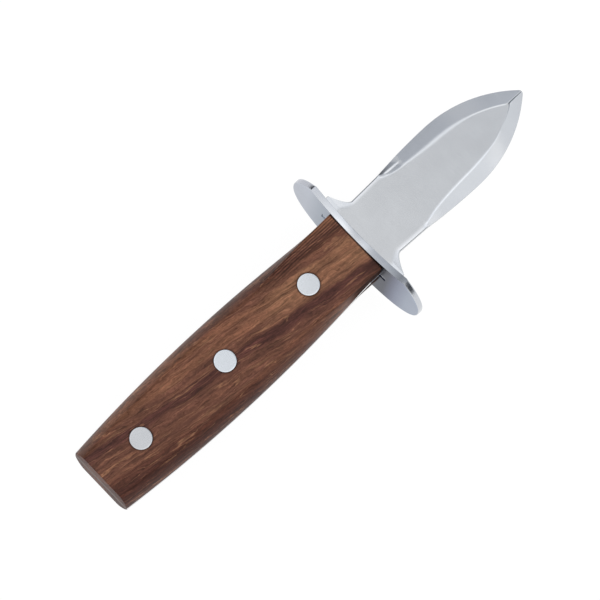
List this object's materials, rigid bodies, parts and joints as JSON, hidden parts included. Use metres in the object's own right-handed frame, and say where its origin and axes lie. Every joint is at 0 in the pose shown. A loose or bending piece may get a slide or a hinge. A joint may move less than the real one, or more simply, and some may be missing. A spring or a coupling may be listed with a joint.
{
  "type": "oyster knife",
  "caption": "Oyster knife with a short spear-pointed blade, a full tang, an oval hand guard and riveted wooden scales.",
  "frame": {"origin": "middle of the flat butt end of the handle", "axes": "+X along the knife from the butt to the tip, +Y across its width, +Z through its thickness towards the ground-down side of the guard"},
  "size_m": [0.1734, 0.0536, 0.0341],
  "materials": {
    "blade_steel": "satin-ground stainless steel with bright bevels",
    "guard_steel": "polished stainless steel",
    "handle_wood": "oiled brown hardwood with fine open grain",
    "rivet_steel": "rivet heads ground flush with the wood"
  },
  "bodies": {
    "root": {"blade": "blade_steel", "guard": "guard_steel", "top_scale": "handle_wood", "bottom_scale": "handle_wood", "front_rivet_post": "rivet_steel", "middle_rivet_post": "rivet_steel", "rear_rivet_post": "rivet_steel", "front_rivet_socket": "rivet_steel", "middle_rivet_socket": "rivet_steel", "rear_rivet_socket": "rivet_steel"}
  },
  "joints": []
}
